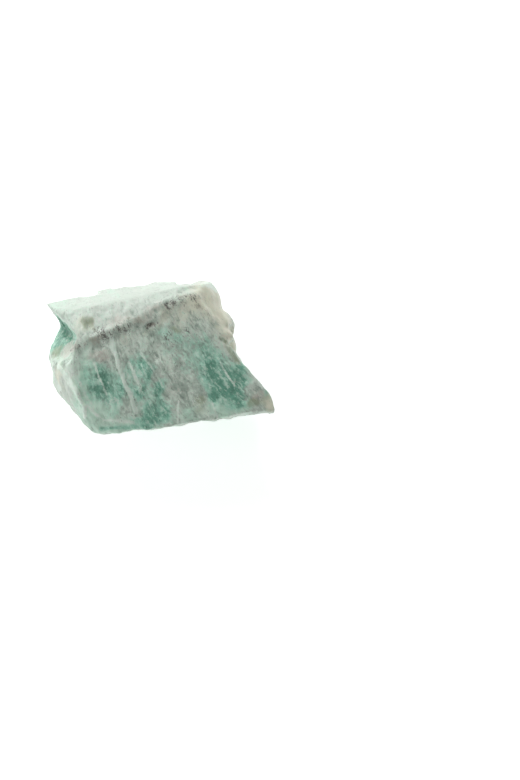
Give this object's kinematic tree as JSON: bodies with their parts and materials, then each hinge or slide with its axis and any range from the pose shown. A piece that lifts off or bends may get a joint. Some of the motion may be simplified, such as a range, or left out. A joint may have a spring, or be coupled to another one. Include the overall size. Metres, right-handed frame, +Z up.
{
  "type": "rough amazonite",
  "caption": "Rough amazonite, a broken lump of blue-green feldspar with flat cleavage faces and white streaks, lying on a small flat spot.",
  "frame": {"origin": "on the surface that the stone rests on, under the middle of its bounding box", "axes": "+X along the stone's long edges, towards its pointed end; +Y towards the pale smooth facet; +Z up"},
  "size_m": [0.05, 0.0376, 0.0255],
  "materials": {
    "amazonite": "broken, with a dull cleavage shine"
  },
  "bodies": {
    "root": {"amazonite": "amazonite"}
  },
  "joints": []
}
